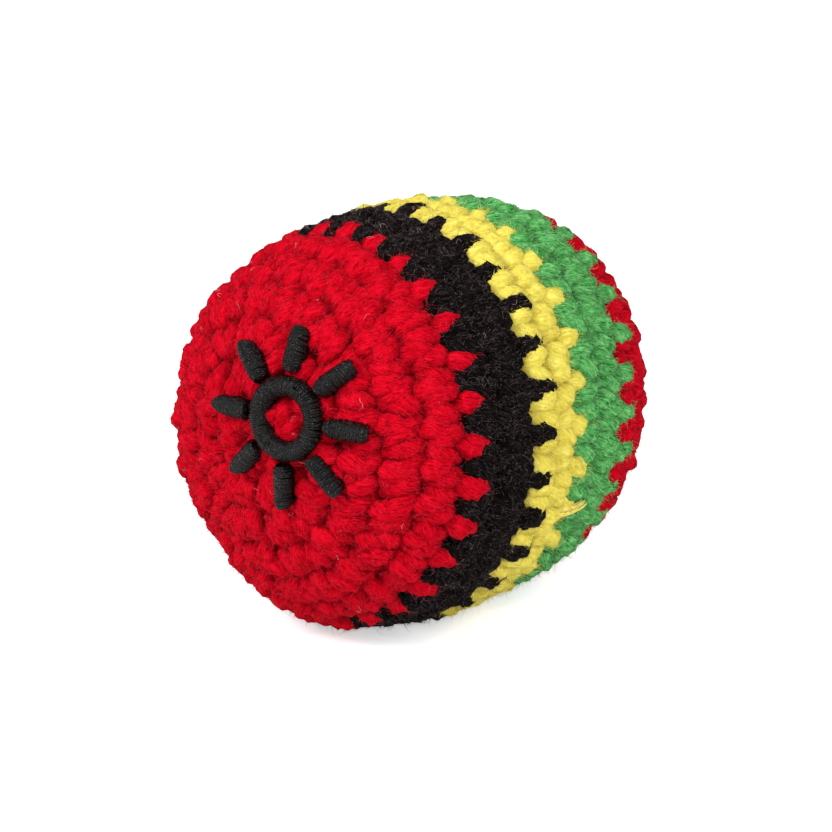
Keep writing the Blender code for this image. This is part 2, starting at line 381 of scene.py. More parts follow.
@dataclass
class YarnStrand:
    """One length of yarn as a swept, plied strand."""

    form: BallForm
    yarn: Yarn
    stitches: list[Stitch]
    rng: np.random.Generator
    thickness: float = 2.75 * MM
    ply_turn: float = 9.5 * MM
    spacing: float = 0.85 * MM
    around: int = 14
    jitter: float = 0.17 * MM
    uneven_share: float = 0.07
    plies: int = 4
    squash: float = 0.16
    # Painted shade: the depth below the yarn's face at which its colour is fully darkened
    full_painted_shade_depth: float = 2.6 * MM
    curve_steps: int = 6
    ply_place: float = 0.40
    ply_radius: float = 0.62
    first_side: tuple[float, float, float] = (0.3, 0.5, 0.8)

    def way(self) -> tuple[np.ndarray, np.ndarray]:
        """Lay the strand through its stitches.

        Returns:
            Evenly spaced points of its middle line, and its share of the thickness at each.
        """
        travel, turn, depth, width = [], [], [], []
        for stitch in self.stitches:
            for side, rise, deep, thick in STITCH_WAY_SHARES:
                share = min(max(rise, 0.0), 1.0)
                share = share * share * (3 - 2 * share)
                ahead = (stitch.top_turn - stitch.base_turn) * share
                turn.append(stitch.base_turn + ahead + side * stitch.step)
                travel.append(stitch.base_travel + rise * (stitch.top_travel - stitch.base_travel))
                depth.append(deep * MM)
                width.append(thick)
        points = self.form.place(np.array(travel), np.array(turn), np.array(depth))
        points += self.rng.normal(scale=self.jitter, size=points.shape)
        widths = np.array(width) * (1 + self.rng.normal(scale=self.uneven_share, size=len(width)))
        return self.resample(points, widths)

    def resample(self, points: np.ndarray, widths: np.ndarray) -> tuple[np.ndarray, np.ndarray]:
        """Draw a smooth curve through the points and read it at even steps.

        Args:
            points: Points that the strand passes.
            widths: Share of the yarn's thickness at each.

        Returns:
            Evenly spaced points and their widths.
        """
        before, after = np.roll(points, 1, axis=0), np.roll(points, -1, axis=0)
        before[0], after[-1] = points[0], points[-1]
        slopes = (after - before) / 2
        fine = []
        fine_widths = []
        for share in np.linspace(0, 1, self.curve_steps, endpoint=False):
            square, cube = share**2, share**3
            spot = (2 * cube - 3 * square + 1) * points[:-1]
            spot += (cube - 2 * square + share) * slopes[:-1]
            spot += (-2 * cube + 3 * square) * points[1:] + (cube - square) * slopes[1:]
            fine.append(spot)
            fine_widths.append(widths[:-1] * (1 - share) + widths[1:] * share)
        curve = np.stack(fine, axis=1).reshape(-1, 3)
        curve_widths = np.stack(fine_widths, axis=1).reshape(-1)
        lengths = np.concatenate([[0.0], np.cumsum(np.linalg.norm(np.diff(curve, axis=0), axis=1))])
        wanted = np.linspace(0, lengths[-1], int(lengths[-1] / self.spacing))
        even = np.column_stack([np.interp(wanted, lengths, curve[:, axis]) for axis in range(3)])
        return even, np.interp(wanted, lengths, curve_widths)

    def section(self) -> np.ndarray:
        """Draw the section of the plies laid side by side.

        Returns:
            Its reach at each angle, as a share of the yarn's half thickness.
        """
        angles = np.arange(self.around) / self.around * TURN
        quarter = TURN / self.plies
        within = np.abs((angles + quarter / 2) % quarter - quarter / 2)
        across = self.ply_place * np.sin(within)
        return self.ply_place * np.cos(within) + np.sqrt(self.ply_radius**2 - across**2)

    def frames(self, line: np.ndarray) -> tuple[np.ndarray, np.ndarray, np.ndarray]:
        """Directions along and across the strand that turn as little as they can.

        Args:
            line: Points of its middle line.

        Returns:
            Unit directions ahead, to one side and to the other, one a row.
        """
        ahead = np.gradient(line, axis=0)
        ahead /= np.linalg.norm(ahead, axis=1)[:, None]
        side = np.zeros_like(line)
        side[0] = np.cross(ahead[0], self.first_side)
        side[0] /= np.linalg.norm(side[0])
        for i in range(1, len(line)):
            kept = side[i - 1] - ahead[i] * np.dot(side[i - 1], ahead[i])
            side[i] = kept / np.linalg.norm(kept)
        return ahead, side, np.cross(ahead, side)

    def build(self) -> tuple[bpy.types.Object, dict[str, np.ndarray]]:
        """Make the strand's mesh.

        Returns:
            The object, and its surface points, their outward normals and the strand's direction there.
        """
        line, widths = self.way()
        ahead, side, other = self.frames(line)
        normals = self.form.outward(line)
        count = len(line)
        angles = np.arange(self.around) / self.around * TURN
        lengths = np.arange(count) * self.spacing
        twist = lengths / self.ply_turn * TURN
        reach = self.section()[None, :] * (self.thickness / 2) * widths[:, None]
        spin = angles[None, :] + twist[:, None]
        outward = np.cos(spin)[..., None] * side[:, None, :]
        outward = outward + np.sin(spin)[..., None] * other[:, None, :]
        offsets = outward * reach[..., None]
        flat = normals - ahead * np.sum(normals * ahead, axis=1)[:, None]
        depth = np.sum(offsets * flat[:, None, :], axis=2)
        offsets -= self.squash * depth[..., None] * flat[:, None, :]
        points = line[:, None, :] + offsets
        points[..., 2] = np.maximum(points[..., 2], 0.0)
        along = np.repeat(lengths[:, None], self.around, 1)
        unwound = np.stack([np.cos(angles) * reach, np.sin(angles) * reach, along], axis=2)
        # Painted shade: each point's depth below the ball's face, as a share, darkens the yarn's colour
        # in its material
        away = points.reshape(-1, 3) - self.form.middle
        far = np.linalg.norm(away, axis=1)
        painted_shade_depth = (self.form.reach(away / far[:, None], 0.0) - far) / self.full_painted_shade_depth
        mesh = tube_mesh(f"{self.yarn.value}_yarn", points, unwound)
        kept = mesh.data.attributes.new("painted_shade_depth", "FLOAT", "POINT")
        kept.data.foreach_set("value", np.clip(painted_shade_depth, 0, 1).astype(np.float32))
        facts = {
            "points": points.reshape(-1, 3),
            "outward": outward.reshape(-1, 3),
            "ahead": np.repeat(ahead, self.around, axis=0),
            "ball": np.repeat(normals, self.around, axis=0),
        }
        return mesh, facts


def tube_mesh(
    name: str, rings: np.ndarray, unwound: np.ndarray | None = None, looped: bool = False
) -> bpy.types.Object:
    """Make a closed tube from rings of points.

    Args:
        name: The object's name.
        rings: Points by ring, by place round the ring, by axis.
        unwound: The same points on the straight, unwound yarn, for patterns that follow it.
        looped: Whether the last ring joins the first.

    Returns:
        The new object.
    """
    count, around = rings.shape[:2]
    grid = np.arange(count * around).reshape(count, around)
    if looped:
        grid = np.vstack([grid, grid[:1]])
    after = np.roll(grid, -1, axis=1)
    quads = np.stack([grid[:-1], after[:-1], after[1:], grid[1:]], axis=2).reshape(-1, 4)
    faces = [tuple(face) for face in quads.tolist()]
    if not looped:
        faces.append(tuple(grid[0][::-1].tolist()))
        faces.append(tuple(grid[-1].tolist()))
    mesh = bpy.data.meshes.new(name)
    mesh.from_pydata(rings.reshape(-1, 3).tolist(), [], faces)
    if unwound is not None:
        kept = mesh.attributes.new("unwound", "FLOAT_VECTOR", "POINT")
        kept.data.foreach_set("vector", unwound.reshape(-1).astype(np.float32))
    return add_object(name, mesh)


def add_object(name: str, mesh: bpy.types.Mesh) -> bpy.types.Object:
    """Put a mesh in the scene, smooth and with its normals outward.

    Args:
        name: The object's name.
        mesh: Its closed mesh.

    Returns:
        The new object.
    """
    mesh.validate()
    mesh.shade_smooth()
    piece = bpy.data.objects.new(name, mesh)
    bpy.context.scene.collection.objects.link(piece)
    tidy = bmesh.new()
    tidy.from_mesh(mesh)
    bmesh.ops.recalc_face_normals(tidy, faces=tidy.faces[:])
    tidy.to_mesh(mesh)
    tidy.free()
    return piece


@dataclass(frozen=True)
class Nap:
    """One kind of fibre end that stands off a yarn's surface."""

    name: str
    count: int
    shortest: float
    spread: float
    lift_share: float
    thickness: float
    points: int


# A short dense haze that softens every stitch, and fewer, longer fibre ends
NAPS = (
    Nap("haze", 22000, 0.24 * MM, 0.13 * MM, 0.30, 0.044 * MM, 2),
    Nap("fuzz", 1200, 0.50 * MM, 0.22 * MM, 0.26, 0.036 * MM, 5),
)


@dataclass
class Fuzz:
    """Loose fibre ends over one length of yarn."""

    form: BallForm
    yarn: Yarn
    nap: Nap
    rng: np.random.Generator
    sides: int = 3
    root_depth: float = 0.12 * MM
    reach_in: float = 2.4 * MM
    longest_share: float = 5.0
    highest_lift: float = 1.0
    past_edge: float = 0.45
    depth_allowance: float = 1.3
    step_limit: float = 2 * MM
    wander: float = 0.5
    arc: float = 2.2
    tip_share: float = 0.4

    def build(self, facts: dict[str, np.ndarray]) -> bpy.types.Object:
        """Grow the fibres.

        Args:
            facts: The yarn's surface, as its strand gives it.

        Returns:
            One object with all the fibres.
        """
        nap = self.nap
        facing = np.sum(facts["outward"] * facts["ball"], axis=1)
        away = facts["points"] - self.form.middle
        unit = away / np.linalg.norm(away, axis=1)[:, None]
        deep = self.form.reach(unit, 0.0) - np.linalg.norm(away, axis=1)
        chance = np.clip(facing + self.past_edge, 0, 1)
        chance = chance * np.clip(self.depth_allowance - deep / self.reach_in, 0, 1)
        chance[facts["points"][:, 2] < 2 * nap.spread] = 0
        picked = self.rng.choice(len(chance), size=nap.count, p=chance / chance.sum())
        near = (picked + 1) % len(chance)
        share = self.rng.random(nap.count)[:, None]
        step = facts["points"][near] - facts["points"][picked]
        close = np.linalg.norm(step, axis=1)[:, None] < self.step_limit
        root = facts["points"][picked] + share * np.where(close, step, 0)
        out = facts["outward"][picked]
        along = facts["ahead"][picked] * self.rng.choice([-1.0, 1.0], size=nap.count)[:, None]
        sideways = np.cross(out, along)
        spread = self.rng.gamma(2.0, nap.spread, size=nap.count)
        lengths = nap.shortest + np.minimum(spread, self.longest_share * nap.spread)
        lift = np.minimum(self.rng.gamma(2.0, nap.lift_share, size=nap.count), self.highest_lift)
        sway = self.rng.normal(scale=self.wander, size=nap.count)
        curl = self.rng.normal(scale=self.wander, size=nap.count)
        line = np.zeros((nap.count, nap.points, 3))
        for k, part in enumerate(np.linspace(0, 1, nap.points)):
            line[:, k] = root + lengths[:, None] * (
                along * part
                + out * (lift * math.sin(self.arc * part))[:, None]
                + sideways * (sway * part + curl * part**2)[:, None]
            )
        line[:, 0] -= out * self.root_depth
        line[..., 2] = np.maximum(line[..., 2], nap.thickness)
        name = f"{self.yarn.value}_{nap.name}"
        return strands_mesh(name, line, nap.thickness / 2, self.sides, self.tip_share)


def strands_mesh(
    name: str, lines: np.ndarray, half: float | np.ndarray, sides: int, tip_share: float = 1.0
) -> bpy.types.Object:
    """Make many thin closed strands as one mesh.

    Args:
        name: The object's name.
        lines: Points by strand, by place along it, by axis.
        half: Half the strand's thickness at its root, one for all or one a strand.
        sides: Corners of the strand's section.
        tip_share: The tip's thickness as a share of the root's.

    Returns:
        The new object.
    """
    count, long = lines.shape[:2]
    ahead = np.gradient(lines, axis=1)
    ahead /= np.linalg.norm(ahead, axis=2)[..., None] + 1e-12
    side = np.cross(ahead, np.array(ASLANT))
    side /= np.linalg.norm(side, axis=2)[..., None] + 1e-12
    other = np.cross(ahead, side)
    halves = np.broadcast_to(np.asarray(half, dtype=float), (count,))
    taper = np.linspace(1.0, tip_share, long)[None, :, None] * halves[:, None, None]
    rings = []
    for k in range(sides):
        angle = TURN * k / sides
        rings.append(lines + taper * (math.cos(angle) * side + math.sin(angle) * other))
    points = np.stack(rings, axis=2)
    grid = np.arange(count * long * sides).reshape(count, long, sides)
    after = np.roll(grid, -1, axis=2)
    quads = np.stack([grid[:, :-1], after[:, :-1], after[:, 1:], grid[:, 1:]], axis=3).reshape(-1, 4)
    ends = np.concatenate([grid[:, 0, ::-1], grid[:, -1]], axis=0)
    mesh = bpy.data.meshes.new(name)
    faces = [tuple(face) for face in quads.tolist()] + [tuple(face) for face in ends.tolist()]
    mesh.from_pydata(points.reshape(-1, 3).tolist(), [], faces)
    mesh.shade_smooth()
    piece = bpy.data.objects.new(name, mesh)
    bpy.context.scene.collection.objects.link(piece)
    return piece


@dataclass
class LooseEnds:
    """The yellow yarn's cut end, and pale lint that the yarn has picked up."""

    form: BallForm
    rng: np.random.Generator
    tail_root: tuple[float, float] = (45.6 * MM, math.radians(-18.2))
    tail_tip: tuple[float, float] = (50.1 * MM, math.radians(-15.2))
    tail_fibres: int = 34
    tail_width: float = 1.25 * MM
    tail_narrowing: float = 0.25
    tail_points: int = 8
    tail_depth: float = 1.3 * MM
    tail_rise: float = 1.5 * MM
    tail_arc: float = 0.62
    tail_sway: float = 0.10 * MM
    tail_flatness: float = 0.8
    tail_lengths: tuple[float, float] = (0.78, 0.98)
    fibre_thickness: float = 0.22 * MM
    fibre_sides: int = 5
    fibre_tip: float = 0.25
    lint_count: int = 48
    lint_thickness: float = 0.034 * MM
    lint_start: float = 4.0 * MM
    lint_reach: float = 42.0 * MM
    lint_shortest: float = 0.6 * MM
    lint_spread: float = 0.55 * MM
    lint_bend: float = 2.2
    lint_waves: tuple[float, float] = (0.4, 1.3)
    lint_points: int = 11
    lint_depth: float = 0.25 * MM
    lint_rise: float = 0.45 * MM
    lint_tip: float = 0.7

    def tail(self) -> bpy.types.Object:
        """Make the cut end, a short blunt wisp that stands over the green stitches.

        Returns:
            One object with all its fibres.
        """
        steps = np.linspace(0, 1, self.tail_points)
        travel = self.tail_root[0] + steps * (self.tail_tip[0] - self.tail_root[0])
        turn = self.tail_root[1] + steps * (self.tail_tip[1] - self.tail_root[1])
        depth = self.tail_depth - self.tail_rise * np.sin(math.pi * self.tail_arc * steps)
        middle = self.form.place(travel, turn, depth)
        outward = self.form.outward(middle)
        ahead = np.gradient(middle, axis=0)
        across = np.cross(ahead / np.linalg.norm(ahead, axis=1)[:, None], outward)
        lines = []
        for _ in range(self.tail_fibres):
            angle, far = self.rng.random() * TURN, math.sqrt(self.rng.random())
            narrow = (1 - self.tail_narrowing * steps)[:, None] * self.tail_width / 2 * far
            sway = self.tail_sway * np.sin(steps * self.rng.uniform(2, 6) + angle)[:, None]
            line = middle + across * (narrow * math.cos(angle) + sway)
            line = line + outward * narrow * math.sin(angle) * self.tail_flatness
            longer = self.rng.uniform(*self.tail_lengths)
            lines.append(line[0] + (line - line[0]) * longer)
        half = self.fibre_thickness / 2
        return strands_mesh("yellow_tail", np.stack(lines), half, self.fibre_sides, self.fibre_tip)

    def lint(self) -> bpy.types.Object:
        """Make fine pale hairs, curled and lying on the red and black yarn.

        Returns:
            One object with all the hairs.
        """
        travel = self.rng.uniform(self.lint_start, self.lint_reach, size=self.lint_count)
        turn = self.rng.uniform(0, TURN, size=self.lint_count)
        lengths = self.lint_shortest + self.rng.gamma(2.0, self.lint_spread, size=self.lint_count)
        heading = self.rng.uniform(0, TURN, size=self.lint_count)
        bend = self.rng.normal(scale=self.lint_bend, size=self.lint_count)
        wave = self.rng.uniform(*self.lint_waves, size=self.lint_count)
        steps = np.linspace(0, 1, self.lint_points)
        lines = []
        for k in range(self.lint_count):
            path = heading[k] + bend[k] * steps + wave[k] * np.sin(TURN * steps + heading[k])
            gone = np.cumsum(np.cos(path)) * lengths[k] / len(steps)
            aside = np.cumsum(np.sin(path)) * lengths[k] / len(steps)
            depth = self.lint_depth - self.lint_rise * np.sin(math.pi * steps)
            line = self.form.place(travel[k] + gone, turn[k] + aside / self.form.radius, depth)
            line[:, 2] = np.maximum(line[:, 2], self.lint_thickness)
            lines.append(line)
        return strands_mesh("lint", np.stack(lines), self.lint_thickness / 2, 3, self.lint_tip)


@dataclass
class StitchedSun:
    """A ring and rays in raised satin stitch: close threads laid across a padded bar."""

    form: BallForm
    rng: np.random.Generator
    across: float = 5.3 * MM
    upward: float = 7.0 * MM
    ring_radius: float = 3.8 * MM
    rays: int = 8
    ray_start: float = 5.6 * MM
    ray_length: float = 5.2 * MM
    bar_width: float = 2.3 * MM
    bar_rise: float = 1.15 * MM
    anchor_depth: float = 0.7 * MM
    thread: float = 0.33 * MM
    pitch: float = 0.25 * MM
    round_share: float = 0.92
    section_points: int = 11
    arch_power: float = 0.75
    end_power: int = 6
    narrowest_core: float = 1.6
    unevenness: float = 0.03
    lean: float = 0.06
    lean_spread: float = 0.07

    def frame(self) -> tuple[np.ndarray, np.ndarray, np.ndarray]:
        """Find the sun's place on the front cap.

        Returns:
            Its middle, from the ball's middle, and the directions across and up there.
        """
        flat = math.hypot(self.across, self.upward) / self.form.radius
        power = self.form.squareness
        along = -self.form.half_length * (1 - flat**power) ** (1 / power)
        middle = np.array([self.across, along, self.upward])
        outward = middle / np.linalg.norm(middle)
        across = -np.cross(outward, [0.0, 0.0, 1.0])
        across /= np.linalg.norm(across)
        return middle, across, -np.cross(across, outward)

    def arch(self, radius: np.ndarray, turn: np.ndarray, height: np.ndarray) -> np.ndarray:
        """Find points over the yarn.

        Args:
            radius: Distance from the sun's middle.
            turn: Angle round it.
            height: Height over the yarn's face.

        Returns:
            One point a row.
        """
        middle, across, upward = self.frame()
        toward = np.cos(turn)[:, None] * across + np.sin(turn)[:, None] * upward
        spots = middle + radius[:, None] * toward
        spots /= np.linalg.norm(spots, axis=1)[:, None]
        return self.form.surface(spots, -height)

    def section(self, width: float) -> tuple[np.ndarray, np.ndarray]:
        """Draw one thread over a bar.

        Args:
            width: The bar's width.

        Returns:
            Sideways places of the thread's points, and their heights.
        """
        angle = np.linspace(0, math.pi, self.section_points)
        rise = self.bar_rise + self.anchor_depth
        return -width / 2 * np.cos(angle), rise * np.sin(angle) ** self.arch_power - self.anchor_depth

    def thread_over(self, width: float, place: float, turn: float, radial: bool) -> np.ndarray:
        """Lay one thread, none quite like the next.

        Args:
            width: The bar's width there.
            place: The bar's distance from the sun's middle.
            turn: Its angle.
            radial: Whether the thread points to the sun's middle, as in the ring.

        Returns:
            Points of the thread.
        """
        width *= 1 + self.rng.normal(scale=self.unevenness)
        side, height = self.section(width)
        height = height + self.rng.normal(scale=self.unevenness) * MM
        lean = self.rng.normal(scale=self.lean_spread) + self.lean
        if radial:
            radius = place + side
            angle = turn + lean * side / self.ring_radius
        else:
            ahead = place + lean * side
            radius = np.hypot(ahead, side)
            angle = turn + np.arctan2(side, ahead)
        return self.arch(radius, angle, height)

    def core(self, rows: list[tuple[float, float, float]], radial: bool) -> np.ndarray:
        """Shape the padding under the threads.

        Args:
            rows: Width, place and angle of the bar, row by row.
            radial: Whether it is the ring's.

        Returns:
            Rings of points.
        """
        rings = []
        for width, place, turn in rows:
            side, height = self.section(width - self.thread)
            height = height - self.thread / 2
            if radial:
                rings.append(self.arch(place + side, np.full(len(side), turn), height))
            else:
                rings.append(self.arch(np.hypot(place, side), turn + np.arctan2(side, place), height))
        return np.stack(rings)

    def ring(self) -> bpy.types.Object:
        """Make the ring: threads across it all the way round, over a closed core.

        Returns:
            One object.
        """
        count = int(TURN * self.ring_radius / self.pitch)
        turns = [TURN * k / count for k in range(count)]
        lines = [self.thread_over(self.bar_width, self.ring_radius, turn, True) for turn in turns]
        rows = [(self.bar_width, self.ring_radius, turn) for turn in turns[::2]]
        core = tube_mesh("sun_ring_core", self.core(rows, True), looped=True)
        return self.join("sun_ring_threads", core, lines)

    def ray(self, number: int) -> bpy.types.Object:
        """Make a ray: threads across it from end to end, over a capped core.

        Args:
            number: Which ray, from 0.

        Returns:
            One object.
        """
        turn = TURN * number / self.rays
        count = int(self.ray_length / self.pitch)
        lines, rows = [], []
        for k in range(count + 1):
            share = k / count
            from_middle = self.round_share * (2 * share - 1)
            width = self.bar_width * math.sqrt(1 - from_middle**self.end_power)
            place = self.ray_start + share * self.ray_length
            lines.append(self.thread_over(width, place, turn, False))
            rows.append((max(width, self.narrowest_core * self.thread), place, turn))
        core = tube_mesh(f"sun_ray_{number + 1}_core", self.core(rows, False))
        return self.join(f"sun_ray_{number + 1}_threads", core, lines)

    def join(self, name: str, core: bpy.types.Object, lines: list[np.ndarray]) -> bpy.types.Object:
        """Lay the threads on their core as one piece.

        Args:
            name: The piece's name.
            core: The padding.
            lines: Points of each thread.

        Returns:
            The joined piece.
        """
        threads = strands_mesh(name, np.stack(lines), self.thread / 2, 6)
        bpy.ops.object.select_all(action="DESELECT")
        core.select_set(True)
        threads.select_set(True)
        bpy.context.view_layer.objects.active = threads
        bpy.ops.object.join()
        return threads


@dataclass
class FilledLiner:
    """The knitted pouch, the thread that ties its neck, and the pellets in it."""

    form: BallForm
    rng: np.random.Generator
    yarn_wall: float = 4.8 * MM
    clearance: float = 0.3 * MM
    cloth: float = 0.35 * MM
    neck_radius: float = 3.2 * MM
    neck_length: float = 3.0 * MM
    pleats: int = 14
    thread: float = 0.4 * MM
    winds: int = 5
    pellet: float = 4.4 * MM
    pellet_pitch: float = 4.9 * MM
    pellet_jitter: float = 0.1 * MM
    flattest_pellet: float = 0.75
    pouch_around: int = 72
    pouch_along: int = 40
    pole_gap: float = 0.02
    gather: float = 0.05
    gather_from: float = 2.0
    wind_points: int = 60
    end_share: float = 0.04
    end_reach: float = 0.5 * MM

    def pouch_rows(self, depth: float, neck: float) -> list[np.ndarray]:
        """Shape the pouch from its front pole to its gathered neck.

        Args:
            depth: How far inside the yarn's outer face.
            neck: The neck's radius.

        Returns:
            Rings of points, round the ball's own axis.
        """
        across = self.form.radius - depth
        front = self.form.half_length - depth
        turn = np.linspace(0, TURN, self.pouch_around, endpoint=False)
        power = 2 / self.form.squareness
        rows = []
        for polar in np.linspace(self.pole_gap, math.pi - self.pole_gap, self.pouch_along):
            length = front if polar < math.pi / 2 else front - self.neck_length
            radius = max(across * math.sin(polar) ** power, neck if polar > math.pi / 2 else 0.0)
            along = -length * math.copysign(abs(math.cos(polar)) ** power, math.cos(polar))
            gathered = max(0.0, (polar - self.gather_from) / (math.pi - self.gather_from))
            gather = self.gather * gathered**2
            pleated = radius * (1 - gather + gather * np.cos(self.pleats * turn))
            level = np.full(self.pouch_around, along)
            rows.append(np.column_stack([pleated * np.cos(turn), level, pleated * np.sin(turn)]))
        pleated = neck * (1 - self.gather + self.gather * np.cos(self.pleats * turn))
        level = np.full(self.pouch_around, front)
        rows.append(np.column_stack([pleated * np.cos(turn), level, pleated * np.sin(turn)]))
        return rows

    def pouch(self) -> bpy.types.Object:
        """Make the pouch as a cloth wall with an open neck.

        Returns:
            One closed object.
        """
        depth = self.yarn_wall + self.clearance
        outside = self.pouch_rows(depth, self.neck_radius)
        inside = self.pouch_rows(depth + self.cloth, self.neck_radius - self.cloth)
        rows = np.stack(outside + inside[::-1]) + self.form.middle
        rows[..., 2] = np.maximum(rows[..., 2], depth)
        return tube_mesh("liner_pouch", rows)

    def tie(self) -> bpy.types.Object:
        """Make the thread wound round the neck, with its two short ends.

        Returns:
            One closed object.
        """
        steps = np.linspace(0, 1, self.wind_points * self.winds)
        angle = TURN * self.winds * steps
        middle = self.form.half_length - self.yarn_wall - self.clearance - self.neck_length / 2
        near_end = np.clip(self.end_share - np.minimum(steps, 1 - steps), 0, 1) / self.end_share
        radius = self.neck_radius + self.thread / 2 + self.end_reach * near_end
        along = middle + (steps - 0.5) * self.thread * (self.winds - 1)
        line = np.column_stack([radius * np.cos(angle), along, radius * np.sin(angle)])
        line = line + self.form.middle
        return strands_mesh("liner_tie_thread", line[None], self.thread / 2, 8)

    def pellets(self) -> bpy.types.Object:
        """Pack rounded pellets as close as they lie in the pouch, each turned its own way.

        Returns:
            One object with all the pellets.
        """
        pitch = self.pellet_pitch
        inside = self.yarn_wall + self.clearance + self.cloth + self.pellet / 2
        spots = []
        reach = int(self.form.half_length / pitch) + 2
        for i in range(-reach, reach + 1):
            for j in range(-reach, reach + 1):
                for k in range(-reach, reach + 1):
                    if (i + j + k) % 2 == 0:
                        spots.append((i, j, k))
        spots = np.array(spots, dtype=float) * pitch / math.sqrt(2)
        sizes = np.linalg.norm(spots, axis=1)
        spots, sizes = spots[sizes > 0], sizes[sizes > 0]
        room = self.form.reach(spots / sizes[:, None], inside)
        rearmost = self.form.half_length - inside - self.neck_length
        spots = spots[(sizes < room) & (spots[:, 1] < rearmost)]
        spots = spots[spots[:, 2] + self.form.middle[2] > inside]
        spots += self.rng.normal(scale=self.pellet_jitter, size=spots.shape) + self.form.middle
        bpy.ops.object.select_all(action="DESELECT")
        bpy.ops.mesh.primitive_ico_sphere_add(subdivisions=2, radius=self.pellet / 2)
        sample = bpy.context.object
        shape = np.array([vert.co for vert in sample.data.vertices])
        faces = np.array([list(face.vertices) for face in sample.data.polygons])
        bpy.data.objects.remove(sample, do_unlink=True)
        points, corners = [], []
        for number, spot in enumerate(spots):
            angle = self.rng.random() * TURN
            turned = Matrix.Rotation(angle, 3, Vector(self.rng.normal(size=3)).normalized())
            pressed = shape * (1, 1, self.rng.uniform(self.flattest_pellet, 1.0))
            points.append(pressed @ np.array(turned) + spot)
            corners.append(faces + number * len(shape))
        mesh = bpy.data.meshes.new("pellets")
        mesh.from_pydata(np.concatenate(points).tolist(), [], np.concatenate(corners).tolist())
        return add_object("pellets", mesh)


@dataclass(frozen=True)
class YarnFinish:
    """Spun acrylic yarn: matt, with fine fibres along its twist, and painted shade that darkens the
    hollows between them.
    """

    name: str
    base: str
    shade: str
    light: str
    # Painted shade: the colour that the yarn darkens to in the hollows between stitches
    deep: str
    roughness: float = 0.95
    sheen: float = 0.02
    fibre_pitch: float = 0.20 * MM
    fibre_height: float = 0.26 * MM
    strand_pitch: float = 1.0 * MM
    fibre_stretch: float = 0.24
    tuft_share: float = 0.35
    shade_at: float = 0.40
    light_at: float = 0.60
    # Painted shade begins and is full at these shares of the depth
    painted_shade_from: float = 0.25
    painted_shade_to: float = 0.95
    specular: float = 0.05

    def material(self) -> bpy.types.Material:
        """Build the material: fibres drawn out along the yarn, tufts, and painted shade that darkens the
        hollows.

        Returns:
            The new material.
        """
        made = bpy.data.materials.new(self.name)
        made.use_nodes = True
        tree = made.node_tree
        shader = tree.nodes["Principled BSDF"]
        unwound = add_node(tree, "ShaderNodeAttribute", {"attribute_name": "unwound"}, {})
        drawn_out = {"Scale": (1, 1, self.fibre_stretch)}
        stretch = add_node(tree, "ShaderNodeMapping", drawn_out, {"Vector": unwound.outputs["Vector"]})
        fibres = add_node(
            tree,
            "ShaderNodeTexNoise",
            {"Scale": 1 / self.fibre_pitch, "Detail": 4.0, "Roughness": 0.7, "Distortion": 0.9},
            {"Vector": stretch.outputs[0]},
        )
        places = add_node(tree, "ShaderNodeTexCoord", {}, {})
        tufts = add_node(
            tree,
            "ShaderNodeTexNoise",
            {"Scale": 1 / self.strand_pitch, "Detail": 5.0, "Roughness": 0.75},
            {"Vector": places.outputs["Object"]},
        )
        both = add_node(
            tree,
            "ShaderNodeMix",
            {"data_type": "FLOAT", "Factor": self.tuft_share},
            {2: fibres.outputs["Fac"], 3: tufts.outputs["Fac"]},
        )
        tones = add_node(tree, "ShaderNodeValToRGB", {}, {"Fac": both.outputs[0]})
        ramp = tones.color_ramp
        ramp.elements[0].position = self.shade_at
        ramp.elements[0].color = linear(self.shade)
        ramp.elements[1].position = self.light_at
        ramp.elements[1].color = linear(self.light)
        middle = ramp.elements.new(0.50)
        middle.color = linear(self.base)
        # Painted shade: the fibre tones go towards the deep colour where the yarn lies below the ball's
        # face
        painted_shade_depth = add_node(tree, "ShaderNodeAttribute", {"attribute_name": "painted_shade_depth"}, {})
        painted_shade_ramp = add_node(tree, "ShaderNodeValToRGB", {}, {"Fac": painted_shade_depth.outputs["Fac"]})
        painted_shade_ramp.color_ramp.elements[0].position = self.painted_shade_from
        painted_shade_ramp.color_ramp.elements[0].color = (0, 0, 0, 1)
        painted_shade_ramp.color_ramp.elements[1].position = self.painted_shade_to
        painted_shade_ramp.color_ramp.elements[1].color = (1, 1, 1, 1)
        tint = add_node(
            tree,
            "ShaderNodeMix",
            {"data_type": "RGBA", "blend_type": "MIX"},
            {"Factor": painted_shade_ramp.outputs["Color"], 6: tones.outputs["Color"]},
        )
        tint.inputs[7].default_value = linear(self.deep)
        tree.links.new(tint.outputs[2], shader.inputs["Base Color"])
        relief = {"Strength": 1.0, "Distance": self.fibre_height}
        bump = add_node(tree, "ShaderNodeBump", relief, {"Height": both.outputs[0]})
        tree.links.new(bump.outputs["Normal"], shader.inputs["Normal"])
        shader.inputs["Roughness"].default_value = self.roughness
        shader.inputs["Sheen Weight"].default_value = self.sheen
        shader.inputs["Sheen Roughness"].default_value = 0.5
        shader.inputs["Sheen Tint"].default_value = linear(self.light)
        shader.inputs["Specular IOR Level"].default_value = self.specular
        return made


